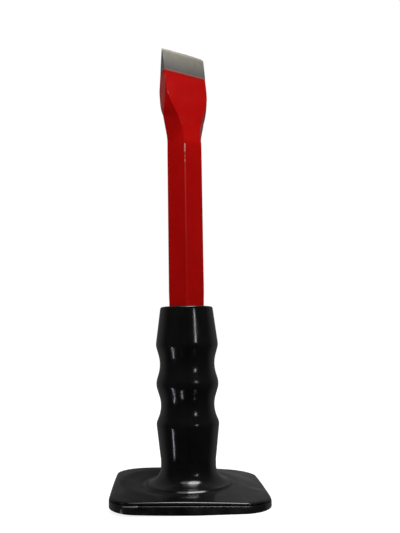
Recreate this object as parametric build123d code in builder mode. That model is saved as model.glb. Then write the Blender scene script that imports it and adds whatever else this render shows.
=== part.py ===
from build123d import *
import os
from math import cos, pi, radians, sin, sqrt, tan

# A cold chisel in a push-on hand guard, standing on the guard with its cutting edge up.
# Z = 0 is the guard's base and +Z runs up the bar. X and Y follow the guard plate's sides.
# All sizes are in millimetres and degrees.

# Bar: hexagonal stock with a forged blade at one end
bar_length = 250.0
across_flats = 19.0
head_recess = 0.5
head_face_radius = 8.6
head_taper = 40.0
blade_turn = 30.0
eased_corner = 0.2

# Forging: the hexagon is hammered out to a flat blade
forging_start = 194.0
blade_width = 27.8
blade_spread = 28.6
blade_thickness = 4.8
blade_corner = 0.4
spread_length = 22.0
face_delay = 5.0
face_length = 28.0
side_delay = 16.0
side_length = 25.0
section_count = 17

# Ground bevels
bevel_length = 13.0
edge_width = 28.2
edge_land = 0.4
edge_crown = 0.5

# Guard plate: a thin lip over a thicker band, with a parting groove between them
plate_side = 81.2
plate_corner = 16.0
plate_height = 6.5
band_height = 4.5
groove_height = 0.6
groove_depth = 0.8
lip_setback = 0.3
lip_round = 1.1
band_round = 1.2
foot_round = 0.7

# Dish under the plate, which leaves a rim to stand on and room round the striking head
dish_depth = 3.2
rim_width = 6.0
dish_round = 2.0

# Sleeve: a collar on the plate, a flared root and three finger swells
collar_radius = 24.4
collar_rise = 0.9
root_fillet = 8.0
sleeve_radius = 14.85
sleeve_height = 101.5
rim_radius = 14.45
rim_round = 1.5

# Hexagonal bore for the bar, with a lead-in at the sleeve's rim
bore_clearance = 0.05
bore_lead_in = 0.8

# Sizes that follow from those above
corner_radius = across_flats / sqrt(3)
bore_radius = (across_flats / 2 + bore_clearance) / cos(radians(30))
edge_height = head_recess + bar_length
bevel_start = edge_height - bevel_length
lip_start = band_height + groove_height
collar_top = plate_height + collar_rise

blade_plane = Plane.XY.rotated((0, 0, blade_turn))


def share_of(height, start, length):
    """How far a height is through a stretch of the bar, from 0 to 1."""
    return min(max((height - start) / length, 0.0), 1.0)


def ease(share):
    """Turn a straight ramp into one that is level at both ends."""
    return share * share * (3.0 - 2.0 * share)


def blend(first, last, share):
    return first + (last - first) * share


def bar_outline(half_width, half_thickness, face, side):
    """Eight corners: face and side are half the widths of the broad and narrow flats."""
    right = [(half_width, side), (face, half_thickness)]
    left = [(-x, y) for x, y in reversed(right)]
    lower = [(-x, -y) for x, y in right + left]
    return right + left + lower


def forged_outline(height):
    """Section of the bar from the plain hexagon to the foot of the bevels."""
    forged = share_of(height, forging_start, bevel_start - forging_start)
    spread_end = forging_start + spread_length
    spread = ease(share_of(height, forging_start, spread_length))
    narrowing = ease(share_of(height, spread_end, bevel_start - spread_end))
    faced = ease(share_of(height, forging_start + face_delay, face_length))
    sided = sin(pi / 2 * share_of(height, forging_start + side_delay, side_length))

    half_thickness = blend(across_flats, blade_thickness, forged) / 2
    widest = blend(blade_spread, blade_width, narrowing) / 2
    half_width = blend(corner_radius - eased_corner / sqrt(3), widest, spread)
    face = blend(corner_radius / 2, widest - blade_corner, faced)
    side = blend(eased_corner, half_thickness - blade_corner, sided)
    return bar_outline(half_width, half_thickness, face, side)


def plate_outline(inset):
    """The guard plate's rounded square, moved in from its widest line."""
    side = plate_side - 2 * inset
    RectangleRounded(side, side, plate_corner - inset)


# The bar: plain shank, forged blade, ground bevels and a turned striking head
with BuildPart() as chisel_bar:
    with BuildSketch(blade_plane.offset(head_recess)):
        Polygon(*forged_outline(forging_start), align=None)
    extrude(amount=forging_start - head_recess)

    for index in range(section_count):
        height = blend(forging_start, bevel_start, index / (section_count - 1))
        with BuildSketch(blade_plane.offset(height)):
            Polygon(*forged_outline(height), align=None)
    loft()

    half_edge = edge_width / 2
    half_land = edge_land / 2
    with BuildSketch(blade_plane.offset(bevel_start)):
        Polygon(*forged_outline(bevel_start), align=None)
    with BuildSketch(blade_plane.offset(edge_height)):
        Polygon(*bar_outline(half_edge, half_land, half_edge - half_land / 2, half_land / 2), align=None)
    loft(ruled=True)

    # The cutting edge is slightly crowned across its width
    crown_foot = edge_height - edge_crown
    with BuildSketch(Plane.XZ.rotated((0, 0, blade_turn))):
        with BuildLine():
            ThreePointArc((-half_edge, crown_foot), (0, edge_height), (half_edge, crown_foot))
            Polyline(
                (half_edge, crown_foot),
                (blade_spread, crown_foot),
                (blade_spread, 0),
                (-blade_spread, 0),
                (-blade_spread, crown_foot),
                (-half_edge, crown_foot),
            )
        make_face()
    extrude(amount=across_flats, both=True, mode=Mode.INTERSECT)

    # The striking head is turned to a cone, so that its corners cannot spread over the bore
    cone_height = (blade_spread - head_face_radius) / tan(radians(head_taper))
    with BuildSketch(Plane.XZ):
        Polygon(
            (0, head_recess),
            (head_face_radius, head_recess),
            (blade_spread, head_recess + cone_height),
            (blade_spread, edge_height),
            (0, edge_height),
            align=None,
        )
    revolve(axis=Axis.Z, mode=Mode.INTERSECT)

# The guard: plate, collar and grooved sleeve in one soft moulding
with BuildPart() as hand_guard:
    with BuildSketch():
        plate_outline(0)
    extrude(amount=band_height)
    fillet(hand_guard.faces().sort_by(Axis.Z)[-1].edges(), band_round)
    fillet(hand_guard.faces().sort_by(Axis.Z)[0].edges(), foot_round)

    with BuildSketch(Plane.XY.offset(band_height / 2)):
        plate_outline(lip_setback + groove_depth)
    extrude(amount=lip_start - band_height / 2)

    with BuildSketch(Plane.XY.offset(lip_start)):
        plate_outline(lip_setback)
    extrude(amount=plate_height - lip_start)
    fillet(hand_guard.faces().sort_by(Axis.Z)[-1].edges(), lip_round)

    # Corners of the sleeve's outline with the radius that rounds each one
    swells = [
        ((sleeve_radius, 18.7), 10.0),
        ((17.15, 38.4), 5.0),
        ((13.6, 47.1), 16.5),
        ((17.45, 59.4), 9.4),
        ((14.25, 69.8), 18.0),
        ((17.2, 80.4), 7.0),
    ]
    with BuildSketch(Plane.XZ):
        with BuildLine():
            FilletPolyline(
                (collar_radius, band_height),
                (collar_radius, collar_top),
                (sleeve_radius, collar_top),
                *[corner for corner, _ in swells],
                (rim_radius, sleeve_height),
                (0, sleeve_height),
                radius=[collar_rise, root_fillet, *[radius for _, radius in swells], rim_round],
            )
            Polyline((0, sleeve_height), (0, band_height), (collar_radius, band_height))
        make_face()
    revolve(axis=Axis.Z)

    with BuildSketch():
        plate_outline(rim_width)
    extrude(amount=dish_depth, mode=Mode.SUBTRACT)
    dish_floor = hand_guard.faces().filter_by(Plane.XY).group_by(Axis.Z)[1]
    fillet(dish_floor.edges(), dish_round)

    with BuildSketch():
        RegularPolygon(bore_radius, 6, rotation=blade_turn)
    extrude(amount=sleeve_height, mode=Mode.SUBTRACT)
    with BuildSketch(Plane.XY.offset(sleeve_height)):
        RegularPolygon(bore_radius + bore_lead_in, 6, rotation=blade_turn)
    with BuildSketch(Plane.XY.offset(sleeve_height - 2 * bore_lead_in)):
        RegularPolygon(bore_radius, 6, rotation=blade_turn)
    loft(mode=Mode.SUBTRACT)

os.makedirs("parts", exist_ok=True)
chisel_bar.part.label = "chisel_bar"
export_step(chisel_bar.part, "parts/chisel_bar.step")
hand_guard.part.label = "hand_guard"
export_step(hand_guard.part, "parts/hand_guard.step")
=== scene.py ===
import math

import bpy
import numpy as np
from mathutils import Matrix, Vector, noise


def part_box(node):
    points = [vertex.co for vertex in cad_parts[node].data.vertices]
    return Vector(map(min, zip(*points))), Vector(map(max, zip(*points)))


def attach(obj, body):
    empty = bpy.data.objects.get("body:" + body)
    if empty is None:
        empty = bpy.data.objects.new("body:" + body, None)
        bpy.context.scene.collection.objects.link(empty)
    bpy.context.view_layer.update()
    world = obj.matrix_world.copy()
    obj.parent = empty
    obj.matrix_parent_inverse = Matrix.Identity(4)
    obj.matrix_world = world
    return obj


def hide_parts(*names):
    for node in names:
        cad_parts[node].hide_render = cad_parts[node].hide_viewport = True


# A cold chisel in its push-on hand guard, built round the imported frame.
# Both pieces are modelled in millimetres in the row frame and scaled to metres at the end.
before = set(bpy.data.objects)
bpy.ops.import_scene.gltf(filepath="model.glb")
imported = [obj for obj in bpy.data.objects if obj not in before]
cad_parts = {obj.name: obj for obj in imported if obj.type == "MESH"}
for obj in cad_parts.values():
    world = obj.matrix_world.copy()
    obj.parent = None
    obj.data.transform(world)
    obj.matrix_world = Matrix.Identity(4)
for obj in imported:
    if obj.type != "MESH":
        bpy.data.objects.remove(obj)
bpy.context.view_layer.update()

MM = 0.001
bar_low, bar_high = (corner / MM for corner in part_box("chisel_bar"))
guard_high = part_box("hand_guard")[1] / MM

# Bar, as the CAD has it
ACROSS_FLATS = 19.0
BLADE_TURN = math.radians(30.0)
HEAD_BOTTOM = bar_low.z
EDGE_TOP = bar_high.z
HEAD_RADIUS = 8.6
HEAD_SLOPE = math.tan(math.radians(40.0))
EASED_CORNER = 0.2
FORGING_START = 194.0
BLADE_SPREAD = 28.6
BLADE_THICKNESS = 4.8
BLADE_CORNER = 0.4
SPREAD_LENGTH = 22.0
FACE_DELAY = 5.0
FACE_LENGTH = 28.0
SIDE_DELAY = 16.0
SIDE_LENGTH = 25.0
BEVEL_START = EDGE_TOP - 13.0
EDGE_LAND = 0.4
EDGE_CROWN = 0.5

# Bar, finer than the CAD; the widths are 0.4 more than there
BLADE_WIDTH = 28.2
EDGE_WIDTH = 28.6
PAINT_CORNER = 0.45
PAINT_BUILD = 0.18
PAINT_FILM = 0.07
STEEL_CORNER = 0.10
HEAD_ROUND = 0.4

# Where the lacquer stands proud: from this far above the sleeve, and up to this far above the
# start of the forging, each with the length over which it comes or goes
BUILD_START, BUILD_RUN_IN = 1, 8
BUILD_END, BUILD_RUN_OUT = 8, 16

# The forging's waves come in over one length and go out over another below the bevels
FORGING_WAVE = 0.13
WAVE_EARLY, WAVE_RUN_IN, WAVE_RUN_OUT = 4, 14, 5

# The cutting edge: its left half is crowned less, and its right corner is worn down
LEFT_CROWN = 0.4
WORN_CORNER = 0.8
WORN_SHARE = 0.08

# Guard, as the CAD has it
PLATE_HALF = guard_high.x
SLEEVE_TOP = guard_high.z
PLATE_TOP = 6.5
BAND_TOP = 4.5
LIP_BOTTOM = 5.1
GROOVE_INSET = 1.1
LIP_INSET = 0.3
LIP_ROUND = 1.1
DISH_DEPTH = 3.2
DISH_INSET = 6.0
DISH_ROUND = 2.0
BORE_APOTHEM = ACROSS_FLATS / 2 + 0.05
BORE_LEAD = 0.8
COLLAR_RADIUS = 24.4
COLLAR_TOP = 7.4

# Guard, as the photograph shows it: each corner of the plate has its own radius
PLATE_CORNERS = (16.0, 18.0, 13.0, 15.5)
BAND_ROUND = 0.4
FOOT_ROUND = 0.35
LIP_WEAR = 0.05
COLLAR_CHAMFER = 0.8

# Corners of the guard's outline above the plate, with the radius that rounds each one
SLEEVE_OUTLINE = [
    ((COLLAR_RADIUS, PLATE_TOP), 0.5),
    ((COLLAR_RADIUS - COLLAR_CHAMFER, COLLAR_TOP), 0.5),
    ((14.85, COLLAR_TOP), 8.0),
    ((14.85, 18.7), 10.0),
    ((17.15, 38.4), 5.0),
    ((13.6, 47.1), 16.5),
    ((17.45, 59.4), 9.4),
    ((14.25, 69.8), 18.0),
    ((17.2, 80.4), 7.0),
    ((14.45, SLEEVE_TOP), 1.1),
]
LONGEST_STEP = 0.8
DIVISIONS = 240
ANGLES = np.arange(DIVISIONS) * 2 * np.pi / DIVISIONS

# The set that the soft plate has taken, in lines across its front, middle and back.
# Each line is its rise at the middle, its slope and its curve towards the sides. The set
# grows from nothing at the collar over SET_RUN_OUT.
TOP_SET = ((-0.17, -1.38, -0.69), (1.68, -1.95, -1.75), (-0.17, -1.90, -1.55))
FOOT_SET = ((0.07, -0.95, 0.90), (0.55, -1.31, 0.90), (0.43, -1.67, 0.90))
SET_RUN_OUT = 13.5

# The moulding's unevenness: its top is dented, and its sleeve is fuller and wanders
TOP_DENT = 0.10
SLEEVE_SWELL = 0.12
SLEEVE_WANDER = 0.04


def blend(first, last, share):
    return first + (last - first) * share


def share_of(height, start, length):
    """How far a height is through a stretch that begins at start, from 0 to 1."""
    return min(max((height - start) / length, 0.0), 1.0)


def ease(share):
    """Turn a straight ramp into one that is level at both ends."""
    return share * share * (3.0 - 2.0 * share)


def wave(x, y, z, seed):
    """Smooth unevenness between about -1 and 1."""
    return noise.noise(Vector((x + 31.7 * seed, y - 17.3 * seed, z + 5.1 * seed)))


def mesh_piece(name, vertices, faces, materials, face_materials=None):
    """A smooth-shaded mesh object from points in millimetres."""
    mesh = bpy.data.meshes.new(name)
    mesh.from_pydata([tuple(point) for point in np.asarray(vertices) * MM], [], faces)
    for material in materials:
        mesh.materials.append(material)
    if face_materials is not None:
        mesh.polygons.foreach_set("material_index", face_materials)
    mesh.polygons.foreach_set("use_smooth", [True] * len(mesh.polygons))
    mesh.validate()
    mesh.update()
    piece = bpy.data.objects.new(name, mesh)
    bpy.context.scene.collection.objects.link(piece)
    return piece


def point_attribute(piece, name, values):
    """A number at each vertex that a material can read."""
    attribute = piece.data.attributes.new(name, "FLOAT", "POINT")
    attribute.data.foreach_set("value", np.asarray(values, np.float32))


def ring_faces(first, second, count):
    """Quads between two rings of the same number of points."""
    return [
        (first + i, first + (i + 1) % count, second + (i + 1) % count, second + i)
        for i in range(count)
    ]


# ---------------------------------------------------------------- bar


def bar_corners(half_width, half_thickness, face, side):
    """Eight corners: face and side are half the widths of the broad and narrow flats."""
    right = [(half_width, side), (face, half_thickness)]
    left = [(-x, y) for x, y in reversed(right)]
    return right + left + [(-x, -y) for x, y in right + left]


def forged_corners(height):
    """Corners of the bar's section from the plain hexagon to the foot of the bevels."""
    forged = share_of(height, FORGING_START, BEVEL_START - FORGING_START)
    spread_end = FORGING_START + SPREAD_LENGTH
    spread = ease(share_of(height, FORGING_START, SPREAD_LENGTH))
    narrowing = ease(share_of(height, spread_end, BEVEL_START - spread_end))
    faced = ease(share_of(height, FORGING_START + FACE_DELAY, FACE_LENGTH))
    sided = math.sin(math.pi / 2 * share_of(height, FORGING_START + SIDE_DELAY, SIDE_LENGTH))
    corner_radius = ACROSS_FLATS / math.sqrt(3)

    half_thickness = blend(ACROSS_FLATS, BLADE_THICKNESS, forged) / 2
    widest = blend(BLADE_SPREAD, BLADE_WIDTH, narrowing) / 2
    half_width = blend(corner_radius - EASED_CORNER / math.sqrt(3), widest, spread)
    face = blend(corner_radius / 2, widest - BLADE_CORNER, faced)
    side = blend(EASED_CORNER, half_thickness - BLADE_CORNER, sided)
    return bar_corners(half_width, half_thickness, face, side)


def bevel_corners(share):
    """Corners of the ground steel, from under the paint film at 0 to the edge at 1."""
    half_land = EDGE_LAND / 2
    half_width = BLADE_WIDTH / 2 - PAINT_FILM
    half_thickness = BLADE_THICKNESS / 2 - PAINT_FILM
    start = bar_corners(
        half_width,
        half_thickness,
        half_width - STEEL_CORNER,
        half_thickness - STEEL_CORNER,
    )
    end = bar_corners(EDGE_WIDTH / 2, half_land, (EDGE_WIDTH - half_land) / 2, half_land / 2)
    return [
        (blend(x0, x1, share), blend(y0, y1, share))
        for (x0, y0), (x1, y1) in zip(start, end)
    ]


# Points along each side of the eight-cornered section, as shares of the side
BROAD_STEPS = [0.012, 0.06, *np.linspace(0.13, 0.87, 11), 0.94, 0.988]
DIAGONAL_STEPS = [0.03, 0.12, 0.3, 0.5, 0.7, 0.88, 0.97]
NARROW_STEPS = [0.06, 0.28, 0.5, 0.72, 0.94]
SIDE_STEPS = [DIAGONAL_STEPS, BROAD_STEPS, DIAGONAL_STEPS, NARROW_STEPS] * 2
ARC_STEPS = 5

# A rounded corner takes up at most this share of a side, and its wear fades over this length
LARGEST_CUT = 0.47
EDGE_FADE = 0.35

# Heights of sections: on the head and where the cone and the shank's even steps meet, and
# shares of the way up the bevels; then the sizes of the rings on the striking face
HEAD_STEPS = (0.0, 0.02, 0.1, 0.22, 0.4)
CONE_END, SHANK_START = 3.3, 3.6
BEVEL_SHARES = [0.0, 0.006, *np.linspace(0.03, 0.97, 26), 0.992, 1.0]
HEAD_RING_SIZES = (0.97, 0.8, 0.6, 0.4, 0.2)


def rounded_section(corners, radius):
    """Points round a section with each corner rounded, and how near each is to a corner."""
    corners = np.array(corners)
    count = len(corners)
    before = np.roll(corners, 1, axis=0) - corners
    after = np.roll(corners, -1, axis=0) - corners
    length_before = np.linalg.norm(before, axis=1)
    length_after = np.linalg.norm(after, axis=1)
    before /= length_before[:, None]
    after /= length_after[:, None]
    turn = np.pi - np.arccos(np.clip((before * after).sum(1), -1, 1))
    shorter = np.minimum(length_before, length_after)
    cut = np.minimum(radius * np.tan(turn / 2), LARGEST_CUT * shorter)

    points, nearness = [], []
    for i in range(count):
        start = corners[i] + before[i] * cut[i]
        end = corners[i] + after[i] * cut[i]
        for k in range(ARC_STEPS):
            t = k / (ARC_STEPS - 1)
            points.append((1 - t) ** 2 * start + 2 * t * (1 - t) * corners[i] + t * t * end)
            nearness.append(1.0)
        following = (i + 1) % count
        side_end = corners[following] + before[following] * cut[following]
        side_length = np.linalg.norm(side_end - end)
        for t in SIDE_STEPS[i]:
            points.append(blend(end, side_end, t))
            nearness.append(math.exp(-side_length * min(t, 1 - t) / EDGE_FADE))
    return np.array(points), nearness


def bar_heights():
    """Heights of the lacquered sections, closest on the rounded head and the forging."""
    head = [HEAD_BOTTOM + step for step in HEAD_STEPS]
    cone = list(np.arange(HEAD_BOTTOM + 0.6, CONE_END, 0.13))
    shank = list(np.linspace(SHANK_START, FORGING_START, 76))
    forging = list(np.linspace(FORGING_START, BEVEL_START, 60)[1:-1])
    border = [BEVEL_START - step for step in (0.4, 0.1, 0.0)]
    return head + cone + shank + forging + border


def paint_build(height):
    """Lacquer that stands proud of the shank: none where the guard sits, nor on the blade."""
    above_guard = ease(share_of(height, SLEEVE_TOP + BUILD_START, BUILD_RUN_IN))
    on_blade = ease(share_of(height, FORGING_START + BUILD_END, BUILD_RUN_OUT))
    return PAINT_BUILD * above_guard * (1 - on_blade)


def head_reach(height):
    """Radius that the head is turned to: a rounded edge, and then the cone."""
    rise = height - HEAD_BOTTOM
    if rise < HEAD_ROUND:
        arc = math.sqrt(HEAD_ROUND**2 - (HEAD_ROUND - rise) ** 2)
        return min(HEAD_RADIUS - HEAD_ROUND + arc, HEAD_RADIUS)
    return HEAD_RADIUS + rise / HEAD_SLOPE


def bar_section(height):
    """Points round the lacquered bar at a height, and how near each is to a corner."""
    points, nearness = rounded_section(forged_corners(height), PAINT_CORNER)
    waved = ease(share_of(height, FORGING_START - WAVE_EARLY, WAVE_RUN_IN))
    waved *= 1 - ease(share_of(height, BEVEL_START - WAVE_RUN_OUT, WAVE_RUN_OUT))
    dent = FORGING_WAVE * waved

    # Hammering leaves waves 7 to 9 mm long, which run far across the broad flats
    for point in points:
        x, y = point
        point[0] -= dent * (0.5 + wave(x / 9, y / 9, height / 8, 1)) * x / 14
        point[1] -= dent * (0.5 + wave(x / 7, y / 30, height / 7, 2)) * math.copysign(1, y)
    points *= 1 + paint_build(height) / (ACROSS_FLATS / 2)
    reach = np.linalg.norm(points, axis=1)
    points *= np.minimum(1.0, head_reach(height) / reach)[:, None]
    return points, nearness


def bevel_section(share):
    """Points, heights and nearness to a corner round the ground steel, whose top is crowned."""
    points, nearness = rounded_section(bevel_corners(share), STEEL_CORNER)
    across = points[:, 0] / (EDGE_WIDTH / 2)
    drop = EDGE_CROWN * np.where(across > 0, across**2, LEFT_CROWN * across**2)
    drop += WORN_CORNER * np.clip((across - (1 - WORN_SHARE)) / WORN_SHARE, 0, 1)
    heights = BEVEL_START + share * (EDGE_TOP - BEVEL_START) - drop * share**3
    return points, heights, nearness


def head_face(outline, start):
    """Rings from the bar's first section in to the middle of the striking face.

    Gives their points, which are numbered from start, and their faces.
    """
    count = len(outline)
    points, faces = [], []
    previous = 0
    for size in HEAD_RING_SIZES:
        points.append(outline * (size, size, 1.0))
        faces += ring_faces(start, previous, count)
        previous, start = start, start + count
    points.append([[0, 0, HEAD_BOTTOM]])
    faces += [(previous + (i + 1) % count, previous + i, start) for i in range(count)]
    return points, faces


def edge_land(first, count):
    """Faces across the cutting edge that close the last section, numbered from first."""
    starts = np.cumsum([0] + [ARC_STEPS + len(steps) for steps in SIDE_STEPS])
    left, right = starts[3] + ARC_STEPS, starts[7] + ARC_STEPS
    front = list(range(left))
    back = list(range(starts[4], right))[::-1]
    faces = [
        (front[k], front[k + 1], back[k + 1], back[k])
        for k in range(1, len(front) - 2)
    ]
    faces.append((front[-2], front[-1], *range(left, starts[4]), back[-1], back[-2]))
    faces.append((front[0], front[1], back[1], back[0], *range(right, count)))
    return [tuple(first + i for i in face) for face in faces]


def build_bar(lacquer, steel):
    turn = np.array(Matrix.Rotation(BLADE_TURN, 2))
    rings, edge = [], []
    for height in bar_heights():
        points, nearness = bar_section(height)
        rings.append(np.column_stack([points @ turn.T, np.full(len(points), height)]))
        edge += nearness
    painted = len(rings)
    for share in BEVEL_SHARES:
        points, heights, nearness = bevel_section(share)
        rings.append(np.column_stack([points @ turn.T, heights]))
        edge += nearness

    count = len(rings[0])
    walls = []
    for i in range(len(rings) - 1):
        walls += ring_faces(i * count, (i + 1) * count, count)
    head_points, head = head_face(rings[0], len(rings) * count)
    land = edge_land((len(rings) - 1) * count, count)
    faces = walls + head + land

    # Lacquer covers the walls up to the bevels, and the head
    indices = [0] * ((painted - 1) * count) + [1] * ((len(rings) - painted) * count)
    indices += [0] * len(head) + [1] * len(land)
    vertices = np.vstack([*rings, *head_points])
    piece = mesh_piece("chisel_bar_lacquered", vertices, faces, [lacquer, steel], indices)
    point_attribute(piece, "edge", edge + [0.0] * (len(vertices) - len(edge)))
    return piece


# ---------------------------------------------------------------- guard


def circle(radius):
    """The same distance from the axis at every angle."""
    return np.full(DIVISIONS, float(radius))


def rounded_square(inset):
    """Distance from the axis to the plate's outline moved in by inset, at every angle."""
    half = PLATE_HALF - inset
    quarter = (ANGLES // (np.pi / 2)).astype(int)
    corner = np.maximum(np.array(PLATE_CORNERS)[quarter] - inset, 0.5)
    folded = np.abs((ANGLES + np.pi / 4) % (np.pi / 2) - np.pi / 4)
    flat = half / np.cos(folded)
    along = (half - corner) * (np.cos(folded) + np.sin(folded))
    inside = np.maximum(along**2 - 2 * (half - corner) ** 2 + corner**2, 0.0)
    arc = along + np.sqrt(inside)
    return np.where(half * np.tan(folded) <= half - corner, flat, arc)


def hexagon(apothem):
    """Distance to a hexagon whose flats face +X and every 60 degrees from it."""
    folded = (ANGLES + np.pi / 6) % (np.pi / 3) - np.pi / 6
    return apothem / np.cos(folded)


def arc_points(centre, radius, start, end, steps, worn=0.0):
    """Points (inset, height) on an arc, with angles in degrees; worn flattens its middle."""
    for k in range(steps + 1):
        a = math.radians(blend(start, end, k / steps))
        reach = radius * (1 - worn * math.sin(2 * a) ** 2)
        yield centre[0] + reach * math.cos(a), centre[1] + reach * math.sin(a)


def rounded_outline(corners):
    """Points down a line of corners, each rounded by its own radius, ends left as they are."""
    points = [np.array(corners[0][0])]
    for i in range(1, len(corners) - 1):
        corner = np.array(corners[i][0])
        before = np.array(corners[i - 1][0]) - corner
        after = np.array(corners[i + 1][0]) - corner
        before /= np.linalg.norm(before)
        after /= np.linalg.norm(after)
        opening = math.acos(float(np.clip(before @ after, -1, 1)))
        radius = corners[i][1]
        cut = radius / math.tan(opening / 2)
        middle = before + after
        middle /= np.linalg.norm(middle)
        centre = corner + middle * radius / math.sin(opening / 2)
        start, end = corner + before * cut, corner + after * cut
        sweep = math.pi - opening
        steps = max(4, int(radius * sweep / 0.7))
        from_centre = start - centre
        side = end - centre
        for k in range(steps + 1):
            t = k / steps
            a, b = math.sin((1 - t) * sweep), math.sin(t * sweep)
            points.append(centre + (from_centre * a + side * b) / math.sin(sweep))
    points.append(np.array(corners[-1][0]))
    return points


def spaced(points, longest):
    """The same line with points added where two are far apart, and repeated ones left out."""
    filled = [points[0]]
    for point in points[1:]:
        start = filled[-1]
        gap = np.linalg.norm(point - start)
        steps = math.ceil(gap / longest - 1e-6)
        filled += [blend(start, point, k / steps) for k in range(1, steps + 1)]
    return filled


def plate_rings():
    """Rings up the plate's edge and in over its top to the collar."""
    lip_centre = (LIP_INSET + LIP_ROUND, PLATE_TOP - LIP_ROUND)
    profile = [
        *arc_points((FOOT_ROUND, FOOT_ROUND), FOOT_ROUND, 270, 180, 4),
        (0.0, 1.2),
        (0.0, 2.2),
        *arc_points((BAND_ROUND, BAND_TOP - BAND_ROUND), BAND_ROUND, 180, 92, 7),
        (GROOVE_INSET + 0.04, BAND_TOP + 0.06),
        (GROOVE_INSET, BAND_TOP + 0.3),
        (GROOVE_INSET - 0.06, LIP_BOTTOM - 0.05),
        (GROOVE_INSET - 0.25, LIP_BOTTOM),
        (LIP_INSET + 0.16, LIP_BOTTOM + 0.01),
        (LIP_INSET + 0.04, LIP_BOTTOM + 0.06),
        *arc_points(lip_centre, LIP_ROUND, 176, 90, 10, LIP_WEAR),
    ]
    rings = [(rounded_square(inset), height) for inset, height in profile]
    outer = rounded_square(LIP_INSET + LIP_ROUND)
    for share in np.linspace(0, 1, 17)[1:]:
        rings.append((blend(outer, circle(COLLAR_RADIUS + 0.5), share), PLATE_TOP))
    return rings


def sleeve_rings():
    """Rings over the collar, up the swells and over the rim to the bore's mouth."""
    mouth = (SLEEVE_OUTLINE[-1][0][0] - 2.2, SLEEVE_TOP)
    start = ((COLLAR_RADIUS + 0.4, PLATE_TOP), 0.0)
    points = rounded_outline([start, *SLEEVE_OUTLINE, (mouth, 0.0)])
    return [(circle(radius), height) for radius, height in spaced(points, LONGEST_STEP)]


def bore_rings():
    """Rings down the bore and out across the dish to the rim that it stands on."""
    wide = hexagon(BORE_APOTHEM + BORE_LEAD * math.cos(math.pi / 6))
    narrow = hexagon(BORE_APOTHEM)
    low = SLEEVE_TOP - 2 * BORE_LEAD
    rings = [(wide + 0.12, SLEEVE_TOP), (wide, SLEEVE_TOP - 0.08)]
    for share in (0.3, 0.6, 0.95):
        rings.append((blend(wide, narrow, share), blend(SLEEVE_TOP, low, share)))
    wall = [low - 0.3, *np.linspace(low - 3, DISH_DEPTH + 2, 18)]
    wall += [DISH_DEPTH + 0.5, DISH_DEPTH + 0.12]
    rings += [(narrow, height) for height in wall]
    rings.append((narrow + 0.1, DISH_DEPTH))
    inner = rounded_square(DISH_INSET + DISH_ROUND)
    for share in np.linspace(0, 1, 9)[1:-1]:
        rings.append((blend(narrow + 0.1, inner, share), DISH_DEPTH))
    dish_centre = (DISH_INSET + DISH_ROUND, DISH_DEPTH - DISH_ROUND)
    profile = [
        *arc_points(dish_centre, DISH_ROUND, 90, 180, 6),
        (DISH_INSET, 0.45),
        (DISH_INSET - 0.06, 0.14),
        (DISH_INSET - 0.3, 0.0),
        (4.0, 0.0),
        (2.4, 0.0),
        (1.2, 0.0),
    ]
    return rings + [(rounded_square(inset), height) for inset, height in profile]


def build_guard(material):
    """One closed skin: round the plate, up the sleeve, down the bore and out over the dish."""
    rings = plate_rings() + sleeve_rings() + bore_rings()
    vertices = []
    for radius, height in rings:
        x, y = radius * np.cos(ANGLES), radius * np.sin(ANGLES)
        vertices.append(np.column_stack([x, y, np.full(DIVISIONS, height)]))
        settle_moulding(vertices[-1])
    faces = []
    for i in range(len(rings)):
        faces += ring_faces(i * DIVISIONS, (i + 1) % len(rings) * DIVISIONS, DIVISIONS)
    return mesh_piece("hand_guard_moulding", np.vstack(vertices), faces, [material])


def plate_set(lines, u, v):
    """How far the soft plate has lifted at a place given in half sides from its middle."""
    front, middle, back = (level + slope * u + curve * u * u for level, slope, curve in lines)
    return front * v * (v - 1) / 2 + middle * (1 - v * v) + back * v * (v + 1) / 2


def settle_moulding(ring):
    """Soft plastic is never quite true: the plate has taken a set and the sleeve wanders."""
    for point in ring:
        x, y, z = point
        reach = math.hypot(x, y)
        if z < COLLAR_TOP + 0.5:
            top = plate_set(TOP_SET, x / PLATE_HALF, y / PLATE_HALF)
            foot = max(plate_set(FOOT_SET, x / PLATE_HALF, y / PLATE_HALF), 0.0)
            outer = ease(share_of(reach, COLLAR_RADIUS, SET_RUN_OUT))
            point[2] += outer * blend(foot, top, share_of(z, 0.0, PLATE_TOP))
            if z > PLATE_TOP - 0.2:
                point[2] -= TOP_DENT * (0.5 + 0.5 * wave(x / 16, y / 16, 0, 4))
        elif reach > BORE_APOTHEM * 1.2:
            swell = SLEEVE_SWELL + SLEEVE_WANDER * wave(x / 14, y / 14, z / 11, 3)
            point[0] += swell * x / reach
            point[1] += swell * y / reach


# ---------------------------------------------------------------- materials

# Marks on the lacquer: the front ridge is where Y passes these two values, and its chips each
# have a lowest and a highest place and a strength. The painted glint is a lighter spot on the
# blade's left ridge that stands in for a highlight.
FRONT_RIDGE = (-10.3, -10.7)
RIDGE_CHIPS = ((187.8, 192.6, 0.9), (184.6, 185.8, 0.3), (182.0, 183.6, 0.6))
RIDGE_GLINT_SPOT = Vector((-9.1, -10.9, 222.4))

# Marks on the guard, both painted highlights: a short one on its front edge, and a line along a
# crease in its plate, which bends away from the collar and straightens at its end
BAND_GLINT_X = -29.7
BAND_GLINT_Z = 5.0
CREASE_HIGHLIGHT_END = (38.0, -14.5)
CREASE_HIGHLIGHT_BEND = 0.085

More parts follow.
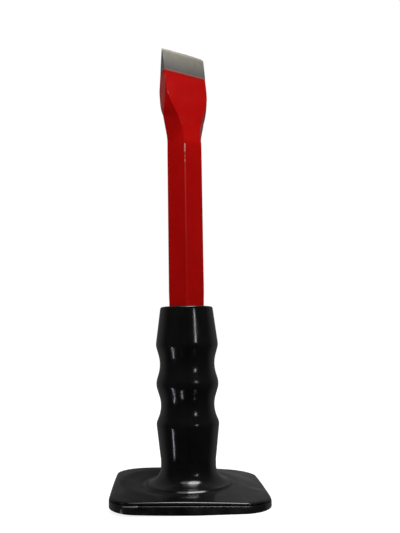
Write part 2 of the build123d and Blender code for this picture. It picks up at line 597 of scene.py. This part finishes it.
# Linear colours
LACQUER_DEEP = (0.465, 0.0036, 0.0028)
LACQUER_BRIGHT = (0.525, 0.0048, 0.0032)
LACQUER_MOTTLE = (0.38, 0.003, 0.004)
LACQUER_CHIPPED = (0.40, 0.10, 0.08)
LACQUER_WORN = (0.50, 0.10, 0.08)
LACQUER_PAINTED_GLINT = (0.50, 0.22, 0.20)
LACQUER_SIDE_STREAKS = (0.42, 0.12, 0.10)
LACQUER_BURNT = (0.27, 0.012, 0.005)
LACQUER_THIN = (0.33, 0.17, 0.14)
PRIMER = (0.60, 0.42, 0.36)
STEEL_DULL = ((0.080, 0.079, 0.083), (0.092, 0.090, 0.084))
STEEL_BRIGHT = ((0.250, 0.237, 0.188), (0.280, 0.262, 0.210))
STEEL_SIDE = ((0.28, 0.285, 0.30), (0.15, 0.15, 0.15))
STEEL_EDGE_GLINT = (0.62, 0.59, 0.50)
STEEL_GRAIN = (0.085, 0.085, 0.083)
STEEL_WHEEL_MARK = (0.080, 0.080, 0.085)
PVC = ((0.0042, 0.0042, 0.0044), (0.0064, 0.0063, 0.0063))
PVC_SCUFFED_TOP = (0.014, 0.014, 0.014)
PVC_SCUFFED_BAND_AND_SHEEN = (0.026, 0.026, 0.026)
PVC_CREASE_HIGHLIGHT = (0.042, 0.042, 0.042)
PVC_RED_REFLECTION = (0.055, 0.028, 0.026)
PVC_BAND_GLINT = (0.45, 0.45, 0.44)


class Nodes:
    """A node material, with short calls for the nodes that the materials here use."""

    def __init__(self, name):
        self.material = bpy.data.materials.new(name)
        self.material.use_nodes = True
        self.tree = self.material.node_tree
        self.shader = self.tree.nodes["Principled BSDF"]
        coordinates = self.tree.nodes.new("ShaderNodeTexCoord")
        self.place = coordinates.outputs["Object"]

    def set(self, **values):
        for name, value in values.items():
            self.shader.inputs[name.replace("_", " ")].default_value = value

    def link(self, source, target):
        self.tree.links.new(source, target)

    def fill(self, socket, value):
        """Link a socket to another, or set its value."""
        if isinstance(value, bpy.types.NodeSocket):
            self.link(value, socket)
        else:
            socket.default_value = value

    def add(self, kind, inputs=(), **settings):
        """A node, with its inputs by name or number and its settings by name."""
        node = self.tree.nodes.new("ShaderNode" + kind)
        for name, value in settings.items():
            setattr(node, name, value)
        for key, value in dict(inputs).items():
            self.fill(node.inputs[key], value)
        return node

    def stretched(self, x, y, z):
        """Places scaled on each axis; what reads them is drawn out where the scale is small."""
        mapping = self.add("Mapping", {"Vector": self.place, "Scale": (x, y, z)})
        return mapping.outputs["Vector"]

    def noise(self, size, detail=3.0, roughness=0.5, vector=None):
        """Noise between 0 and 1 whose features are about size millimetres across."""
        inputs = {
            "Vector": vector or self.place,
            "Scale": 1.0 / (size * MM),
            "Detail": detail,
            "Roughness": roughness,
        }
        return self.add("TexNoise", inputs).outputs["Fac"]

    def ramp(self, value, low, high, to_low=0.0, to_high=1.0):
        """Go smoothly from to_low to to_high as value goes from low to high, and stay there."""
        inputs = {
            "Value": value,
            "From Min": low,
            "From Max": high,
            "To Min": to_low,
            "To Max": to_high,
        }
        return self.add("MapRange", inputs, interpolation_type="SMOOTHSTEP").outputs["Result"]

    def span(self, value, low, high, to_low=0.0, to_high=1.0):
        """A ramp whose low and high are in millimetres."""
        return self.ramp(value, low * MM, high * MM, to_low, to_high)

    def math(self, operation, first, second):
        return self.add("Math", {0: first, 1: second}, operation=operation).outputs[0]

    def times(self, first, second):
        return self.math("MULTIPLY", first, second)

    def mix(self, share, first, second):
        """Colour from first to second; a colour is a socket or three linear values."""
        node = self.add("Mix", {"Factor": share}, data_type="RGBA")
        sockets = [socket for socket in node.inputs if socket.type == "RGBA"]
        for socket, value in zip(sockets, (first, second)):
            plain = not isinstance(value, bpy.types.NodeSocket)
            self.fill(socket, (*value, 1.0) if plain else value)
        return next(socket for socket in node.outputs if socket.type == "RGBA")

    def axis(self, name):
        return self.add("SeparateXYZ", {"Vector": self.place}).outputs[name]

    def height(self):
        return self.axis("Z")

    def facing(self, x, y, z):
        """How squarely the surface faces a direction, from -1 to 1."""
        normal = self.add("TexCoord").outputs["Normal"]
        node = self.add("VectorMath", {0: normal, 1: (x, y, z)}, operation="DOT_PRODUCT")
        return node.outputs["Value"]

    def blade_side(self):
        """How squarely the surface faces along the blade's width, from 0 to 1."""
        facing = self.facing(math.cos(BLADE_TURN), math.sin(BLADE_TURN), 0.0)
        return self.math("ABSOLUTE", facing, 0.0)

    def near(self, name, centre, half, soft):
        """From 1 within half millimetres of a place on one axis, fading to 0 over soft more."""
        away = self.math("SUBTRACT", self.axis(name), centre * MM)
        away = self.math("ABSOLUTE", away, 0.0)
        return self.span(away, half + soft, half)

    def bump(self, value, depth, normal=None):
        """Relief of depth millimetres for a value between 0 and 1."""
        inputs = {"Height": value, "Distance": depth * MM, "Strength": 1.0}
        if normal is not None:
            inputs["Normal"] = normal
        return self.add("Bump", inputs).outputs["Normal"]


def red_lacquer():
    n = Nodes("red_lacquer")
    n.set(Specular_IOR_Level=0.14)
    height = n.height()
    cloud = n.ramp(n.noise(16.0, 2.0), 0.3, 0.7)
    mottle = n.ramp(n.noise(1.6, 4.0, 0.6), 0.25, 0.75)
    colour = n.mix(cloud, LACQUER_DEEP, LACQUER_BRIGHT)
    colour = n.mix(n.times(mottle, 0.35), colour, LACQUER_MOTTLE)

    # Knocks have chipped the lacquer along all the ridges
    edge = n.ramp(n.add("Attribute", attribute_name="edge").outputs["Fac"], 0.5, 1.0)
    knocks = n.ramp(n.noise(2.2, 3.0), 0.60, 0.70)
    colour = n.mix(n.times(edge, n.times(knocks, 0.5)), colour, LACQUER_CHIPPED)

    # The front ridge is chipped to the primer just below the forging, and worn below that
    ridge = n.times(edge, n.span(n.axis("Y"), *FRONT_RIDGE))
    for low, high, strength in RIDGE_CHIPS:
        foot = n.span(height, low - 0.3, low + 0.4, 0.0, strength)
        chip = n.times(foot, n.span(height, high + 0.3, high - 0.6))
        colour = n.mix(n.times(ridge, chip), colour, PRIMER)
    worn = n.times(ridge, n.span(height, 188, 120, 0.35, 0.05))
    worn = n.times(worn, n.span(height, 194, 191))
    colour = n.mix(worn, colour, LACQUER_WORN)
    # A painted highlight: a lighter spot on the left ridge, standing in for a glint
    away = n.add("VectorMath", {0: n.place, 1: RIDGE_GLINT_SPOT * MM}, operation="DISTANCE")
    ridge_glint = n.span(away.outputs["Value"], 1.3, 0.6, 0.0, 0.4)
    colour = n.mix(n.times(edge, ridge_glint), colour, LACQUER_PAINTED_GLINT)

    # The narrow sides of the blade are made lighter and pinker, in streaks
    side = n.ramp(n.blade_side(), 0.93, 0.99)
    side = n.times(side, n.span(height, 203, 212))
    streak = n.noise(2.0, 3.0, 0.6, n.stretched(1.0, 1.0, 0.2))
    side = n.times(side, n.ramp(streak, 0.3, 0.7, 0.2, 0.6))
    colour = n.mix(side, colour, LACQUER_SIDE_STREAKS)

    # The last of the paint beside the ground bevel is scorched, and then thin
    border = n.math("ADD", height, n.times(n.noise(0.9, 2.0), 0.5 * MM))
    burnt = n.span(border, BEVEL_START - 2.8, BEVEL_START - 0.9, 0.0, 0.6)
    colour = n.mix(burnt, colour, LACQUER_BURNT)
    thin = n.span(border, BEVEL_START - 0.9, BEVEL_START + 0.1, 0.0, 0.75)
    colour = n.mix(thin, colour, LACQUER_THIN)
    n.link(colour, n.shader.inputs["Base Color"])

    n.link(n.ramp(n.noise(7.0, 3.0), 0.3, 0.7, 0.20, 0.27), n.shader.inputs["Roughness"])
    skin = n.bump(n.noise(1.3, 2.0), 0.012)
    n.link(n.bump(n.noise(6.0, 2.0), 0.05, skin), n.shader.inputs["Normal"])
    return n.material


def ground_steel():
    n = Nodes("ground_steel")
    n.set(Metallic=0.5)
    height = n.height()
    dull = n.mix(n.ramp(n.noise(9.0, 2.0), 0.3, 0.7), *STEEL_DULL)
    bright = n.mix(n.ramp(n.noise(6.0, 2.0), 0.3, 0.7), *STEEL_BRIGHT)
    ground = n.span(height, BEVEL_START - 3, EDGE_TOP + 1.5)
    colour = n.mix(ground, dull, bright)
    side = n.ramp(n.blade_side(), 0.85, 0.97)
    colour = n.mix(side, colour, n.mix(ground, *STEEL_SIDE))
    # A painted highlight: the steel is lightened towards the cutting edge, standing in for its
    # glint
    edge_glint = n.span(height, EDGE_TOP - 2.2, EDGE_TOP - 0.2, 0.0, 0.6)
    colour = n.mix(edge_glint, colour, STEEL_EDGE_GLINT)
    grain = n.noise(0.26, 2.0, 0.5, n.stretched(1.0, 1.0, 0.05))
    colour = n.mix(n.ramp(grain, 0.3, 0.75, 0.0, 0.28), colour, STEEL_GRAIN)
    wheel = n.noise(0.9, 3.0, 0.6, n.stretched(1.0, 1.0, 0.12))
    colour = n.mix(n.ramp(wheel, 0.45, 0.75, 0.0, 0.30), colour, STEEL_WHEEL_MARK)
    n.link(colour, n.shader.inputs["Base Color"])
    n.link(n.ramp(n.noise(3.0, 3.0), 0.3, 0.7, 0.42, 0.50), n.shader.inputs["Roughness"])
    n.link(n.bump(grain, 0.006), n.shader.inputs["Normal"])
    return n.material


def plate_crease_highlight(n):
    """How much a place is in the painted highlight along the plate's crease, which is fainter
    towards the collar.
    """
    inward = n.math("SUBTRACT", CREASE_HIGHLIGHT_END[0] * MM, n.axis("X"))
    line = n.times(n.times(inward, inward), CREASE_HIGHLIGHT_BEND / MM)
    away = n.math("SUBTRACT", n.axis("Y"), n.math("ADD", line, CREASE_HIGHLIGHT_END[1] * MM))
    crease = n.span(n.math("ABSOLUTE", away, 0.0), 4.6, 0.0)
    crease = n.times(crease, n.span(n.axis("X"), 20, 34))
    return n.times(crease, n.ramp(n.noise(3.5, 4.0, 0.6), 0.3, 0.7, 0.35, 1.0))


def black_pvc():
    n = Nodes("black_pvc")
    height = n.height()
    colour = n.mix(n.ramp(n.noise(11.0, 3.0), 0.3, 0.7), *PVC)
    scuff = n.ramp(n.noise(9.0, 3.0, 0.55, n.stretched(1.0, 0.5, 1.0)), 0.35, 0.75)
    level = n.ramp(n.facing(0.0, 0.0, 1.0), 0.7, 0.98)
    band = n.span(height, 6.0, BAND_TOP)
    colour = n.mix(n.times(scuff, level), colour, PVC_SCUFFED_TOP)
    # The band is lightened in patches: scuffs, and also a painted reflection of the pale floor
    # in front
    colour = n.mix(n.times(scuff, band), colour, PVC_SCUFFED_BAND_AND_SHEEN)
    # A painted highlight along the crease in the plate's top
    colour = n.mix(n.times(plate_crease_highlight(n), level), colour, PVC_CREASE_HIGHLIGHT)

    # A painted reflection: the sleeve's rim is tinted red for the red bar mirrored in it
    reach = n.add("VectorMath", {0: n.stretched(1.0, 1.0, 0.0)}, operation="LENGTH")
    rim = n.span(height, SLEEVE_TOP - 0.5, SLEEVE_TOP - 0.15)
    rim = n.times(rim, n.span(reach.outputs["Value"], 12.9, 13.3))
    rim = n.times(rim, n.ramp(n.noise(5.0, 3.0), 0.4, 0.65, 0.1, 1.0))
    colour = n.mix(rim, colour, PVC_RED_REFLECTION)

    # A painted highlight: the front of the band is lightened along a short stretch of its upper
    # edge
    band_glint = n.times(n.near("X", BAND_GLINT_X, 3.6, 0.8), n.near("Z", BAND_GLINT_Z, 0.1, 0.3))
    band_glint = n.times(band_glint, n.span(n.axis("Y"), -39.0, -39.6, 0.0, 0.35))
    colour = n.mix(band_glint, colour, PVC_BAND_GLINT)
    n.link(colour, n.shader.inputs["Base Color"])

    smear = n.noise(9.0, 4.0, 0.6)
    n.link(n.ramp(smear, 0.35, 0.75, 0.13, 0.20), n.shader.inputs["Roughness"])
    skin = n.bump(n.noise(1.1, 2.0), 0.0016)
    n.link(n.bump(n.noise(8.0, 2.0), 0.035, skin), n.shader.inputs["Normal"])
    return n.material


def pale_floor():
    """White as the photograph's ground; it is clear from below, so the guard's base shows."""
    n = Nodes("pale_floor")
    n.set(Base_Color=(0.3, 0.3, 0.3, 1.0), Roughness=0.9, Emission_Color=(1.0, 1.0, 1.0, 1.0))
    reach = n.add("VectorMath", {0: n.place}, operation="LENGTH").outputs["Value"]
    n.link(n.ramp(reach, 0.1, 1.2, 0.90, 1.0), n.shader.inputs["Emission Strength"])
    clear = n.add("BsdfTransparent").outputs[0]
    below = n.add("NewGeometry").outputs["Backfacing"]
    both = n.add("MixShader", {0: below, 1: n.shader.outputs[0], 2: clear}).outputs[0]
    n.link(both, n.tree.nodes["Material Output"].inputs["Surface"])
    return n.material


# ---------------------------------------------------------------- studio

CAMERA_DISTANCE = 0.34259
CAMERA_HEIGHT = 0.08347
CAMERA_SIDE = math.radians(2.0)
CAMERA_PAN = math.radians(3.34)
CAMERA_PITCH = math.radians(6.78)
CAMERA_ROLL = math.radians(-0.96)
SENSOR = 36.0
FOCAL_PIXELS = 610.5
LONG_SIDE_PIXELS = 533.0


def build_camera():
    """The camera that was fitted to the photograph's outlines of the bar, sleeve and plate."""
    data = bpy.data.cameras.new("camera")
    data.sensor_width = SENSOR
    data.lens = FOCAL_PIXELS * SENSOR / LONG_SIDE_PIXELS
    data.clip_start = 0.01
    data.clip_end = 50.0
    camera = bpy.data.objects.new("camera", data)
    bpy.context.scene.collection.objects.link(camera)
    forward = Vector((
        math.sin(CAMERA_PAN) * math.cos(CAMERA_PITCH),
        math.cos(CAMERA_PAN) * math.cos(CAMERA_PITCH),
        math.sin(CAMERA_PITCH),
    ))
    right = Vector((math.cos(CAMERA_PAN), -math.sin(CAMERA_PAN), 0.0))
    up = right.cross(forward)
    rolled_right = math.cos(CAMERA_ROLL) * right + math.sin(CAMERA_ROLL) * up
    rolled_up = -math.sin(CAMERA_ROLL) * right + math.cos(CAMERA_ROLL) * up
    pose = Matrix((rolled_right, rolled_up, -forward)).transposed().to_4x4()
    pose.translation = (
        -CAMERA_DISTANCE * math.sin(CAMERA_SIDE),
        -CAMERA_DISTANCE * math.cos(CAMERA_SIDE),
        CAMERA_HEIGHT,
    )
    camera.matrix_world = pose
    bpy.context.scene.camera = camera


def soft_light(
    name,
    azimuth,
    elevation,
    distance,
    size,
    watts,
    colour=(1, 1, 1),
    mirrored=True,
    lighting=True,
    shape="RECTANGLE",
    aim=0.12,
):
    """An area light that faces the chisel at the height aim.

    Azimuth 0 is in front of it and 90 on its +X side. A light that isn't mirrored makes no
    highlight, and one that isn't lighting makes nothing else.
    """
    data = bpy.data.lights.new(name, "AREA")
    data.shape = shape
    data.size, data.size_y = size
    data.energy = watts
    data.color = colour
    light = bpy.data.objects.new(name, data)
    bpy.context.scene.collection.objects.link(light)
    a, e = math.radians(azimuth), math.radians(elevation)
    outward = Vector((math.sin(a) * math.cos(e), -math.cos(a) * math.cos(e), math.sin(e)))
    light.location = Vector((0.0, 0.0, aim)) + outward * distance
    light.rotation_euler = outward.to_track_quat("Z", "Y").to_euler()
    light.visible_glossy = mirrored
    light.visible_diffuse = lighting


def build_world():
    """White to the camera; to all else a dim room, lighter at the back beside a dark middle."""
    world = bpy.data.worlds.new("studio")
    bpy.context.scene.world = world
    world.use_nodes = True
    tree = world.node_tree
    tree.nodes.clear()
    link = tree.links.new

    def add(kind):
        return tree.nodes.new("ShaderNode" + kind)

    def ramp(value, low, high, to_low, to_high):
        node = add("MapRange")
        node.interpolation_type = "SMOOTHSTEP"
        levels = {"From Min": low, "From Max": high, "To Min": to_low, "To Max": to_high}
        for name, level in levels.items():
            node.inputs[name].default_value = level
        link(value, node.inputs["Value"])
        return node.outputs["Result"]

    def combine(operation, first, second=None):
        node = add("Math")
        node.operation = operation
        link(first, node.inputs[0])
        if second is not None:
            link(second, node.inputs[1])
        return node.outputs[0]

    split = add("SeparateXYZ")
    link(add("TexCoord").outputs["Generated"], split.inputs[0])
    sideways = combine("ABSOLUTE", split.outputs["X"])
    back = ramp(split.outputs["Y"], -0.10, 0.50, 0.02, 0.13)
    middle = ramp(sideways, 0.02, 0.14, 0.40, 1.0)
    sides = ramp(sideways, 0.40, 0.90, 1.0, 1.45)
    room = add("Background")
    link(combine("MULTIPLY", back, combine("MULTIPLY", middle, sides)), room.inputs["Strength"])
    white = add("Background")
    for background in (room, white):
        background.inputs["Color"].default_value = (1, 1, 1, 1)
    choose = add("MixShader")
    link(add("LightPath").outputs["Is Camera Ray"], choose.inputs[0])
    link(room.outputs[0], choose.inputs[1])
    link(white.outputs[0], choose.inputs[2])
    link(choose.outputs[0], add("OutputWorld").inputs["Surface"])


def build_floor():
    reach = 20000.0
    corners = [(-reach, -reach, 0), (reach, -reach, 0), (reach, reach, 0), (-reach, reach, 0)]
    floor = mesh_piece("floor", corners, [(0, 1, 2, 3)], [pale_floor()])
    floor.visible_glossy = False
    floor.visible_diffuse = False
    floor.visible_shadow = False


def build_lights():
    soft_light("key", 31, 12, 1.0, (0.08, 0.12), 0.42)
    soft_light("overhead", 24, 59, 0.75, (0.42, 0.26), 3.7, mirrored=False, aim=0.05)
    ceiling = {"lighting": False, "shape": "ELLIPSE", "aim": 0.05}
    soft_light("ceiling", 36, 70, 0.75, (0.39, 0.34), 3.7, **ceiling)
    soft_light("ceiling_left", -20, 70, 0.75, (0.36, 0.32), 0.6, **ceiling)
    soft_light("fill", -45, 58, 0.62, (0.3, 0.3), 1.15, mirrored=False, aim=0.19)
    soft_light("left_fill", -75, -12, 0.7, (0.2, 0.2), 0.54, mirrored=False)
    soft_light("right_fill", 80, 8, 0.7, (0.2, 0.2), 0.45, mirrored=False)
    soft_light("back_fill", 175, 40, 0.8, (0.4, 0.4), 2.6, mirrored=False)
    soft_light("low_left", -61, -32, 0.9, (0.034, 0.29), 0.47, colour=(0.82, 0.86, 1.0))
    soft_light("low_front", -27, -41, 0.9, (0.05, 0.02), 0.10)
    soft_light("low_right", 30, -38, 0.9, (0.05, 0.03), 0.022)
    soft_light("under", 0, -80, 0.8, (0.5, 0.5), 0.6)


build_camera()
build_world()
build_floor()
build_lights()

bar = build_bar(red_lacquer(), ground_steel())
guard = build_guard(black_pvc())
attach(bar, "bar")
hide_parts("chisel_bar")
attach(guard, "guard")
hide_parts("hand_guard")

view = bpy.context.scene.view_settings
view.view_transform = "Standard"
